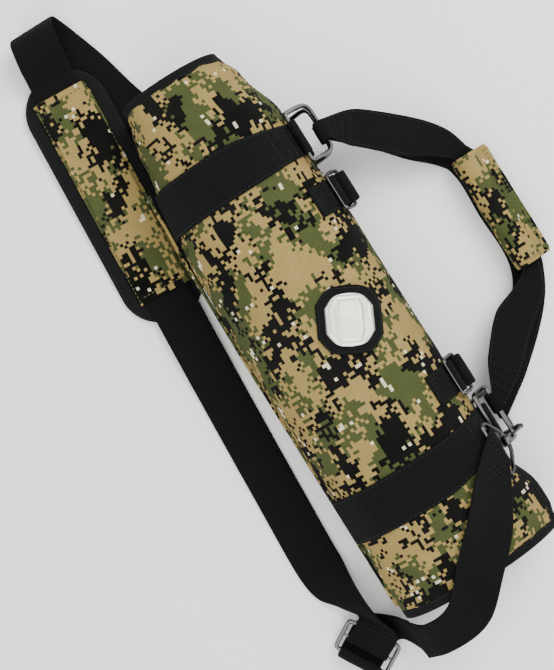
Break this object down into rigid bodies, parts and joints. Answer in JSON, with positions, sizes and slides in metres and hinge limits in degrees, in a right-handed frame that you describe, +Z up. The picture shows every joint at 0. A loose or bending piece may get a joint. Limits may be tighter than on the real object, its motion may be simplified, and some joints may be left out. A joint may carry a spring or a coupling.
{
  "type": "drum stick bag",
  "caption": "Padded canvas bag for drum sticks: two curved halves open like a book about a cloth fold, with webbing bands, a double handle, closing straps and a padded shoulder strap",
  "frame": {"origin": "On the rear cover's flat underside, under the middle of the bag's length and the hinge section's middle", "axes": "+X along the bag towards the end where the shoulder strap crosses to the hook, +Y towards the opening edge and the handle, +Z up through the front half"},
  "size_m": [0.5888, 0.317, 0.0991],
  "materials": {
    "canvas": "square-cell camouflage printed on twill canvas",
    "webbing": "black basket-weave webbing",
    "binding": "black woven edge binding",
    "lining": "plain dark lining cloth",
    "nickel": "nickel-plated steel wire",
    "patch": "black cloth patch",
    "pad": "black padded webbing cloth",
    "plate": "satin pale metal"
  },
  "bodies": {
    "root": {"rear_cover": "canvas", "rear_lining": "lining", "rear_binding": "binding", "spine_fold": "canvas", "rear_band_upper": "webbing", "rear_band_lower": "webbing", "rear_d_ring_upper": "nickel", "rear_d_ring_lower": "nickel", "closure_patch_1": "patch", "closure_patch_2": "patch", "stick_pocket_1": "lining", "stick_pocket_2": "lining", "strap_anchor_ring": "nickel", "strap_anchor_tab": "webbing", "shoulder_strap": "webbing", "strap_lower_run": "webbing", "slider_frame": "nickel", "slider_bar": "nickel"},
    "front_half": {"front_cover": "canvas", "front_lining": "lining", "front_binding": "binding", "front_band_upper": "webbing", "front_band_lower": "webbing", "front_d_ring_upper": "nickel", "front_d_ring_lower": "nickel", "closure_tab_1": "webbing", "closure_tab_2": "webbing", "badge_patch": "patch", "badge_plate": "plate", "hook_loop": "nickel", "strap_end_run": "webbing"},
    "front_handle": {"front_handle_strap": "webbing", "grip_wrap": "canvas"},
    "rear_handle": {"rear_handle_strap": "webbing"},
    "closure_1": {"closure_ring_1": "nickel", "closing_strap_1": "webbing"},
    "closure_2": {"closure_ring_2": "nickel", "closing_strap_2": "webbing"},
    "pad": {"shoulder_pad": "pad", "pad_sleeve": "canvas"},
    "hook": {"hook_body": "nickel"},
    "gate": {"hook_gate": "nickel"}
  },
  "joints": [
    {"name": "front_open", "type": "hinge", "parent": "root", "child": "front_half", "pos_m": [0, -0.0665, 0.04], "axis": [1, 0, 0], "range_deg": [0, 140]},
    {"name": "front_handle_lift", "type": "hinge", "parent": "front_half", "child": "front_handle", "pos_m": [-0.005, 0.08114, 0.04628], "axis": [0.9964, 0.0141, -0.0833], "range_deg": [0, 75]},
    {"name": "rear_handle_lift", "type": "hinge", "parent": "root", "child": "rear_handle", "pos_m": [-0.00075, 0.08328, 0.02668], "axis": [0.9955, 0.0272, -0.0904], "range_deg": [0, 66]},
    {"name": "closure_1_swing", "type": "hinge", "parent": "front_half", "child": "closure_1", "pos_m": [-0.0835, 0.0624, 0.0668], "axis": [1, 0, 0], "range_deg": [0, 20]},
    {"name": "closure_2_swing", "type": "hinge", "parent": "front_half", "child": "closure_2", "pos_m": [0.0835, 0.0631, 0.0668], "axis": [1, 0, 0], "range_deg": [0, 20]},
    {"name": "pad_slide", "type": "slide", "parent": "root", "child": "pad", "axis": [0.998, -0.0606, -0.0175], "range_m": [0, 0.02]},
    {"name": "hook_swivel", "type": "hinge", "parent": "front_half", "child": "hook", "pos_m": [0.1462, 0.0721, 0.0647], "axis": [0, 0.3499, -0.9368], "range_deg": [-8, 8]},
    {"name": "hook_gate_open", "type": "hinge", "parent": "hook", "child": "gate", "pos_m": [0.1462, 0.0787, 0.0584], "axis": [-1, 0, 0], "range_deg": [0, 18]}
  ],
  "couplings": [
    {"joint": "rear_handle_lift", "follows": "front_handle_lift", "ratio": 0.88}
  ]
}
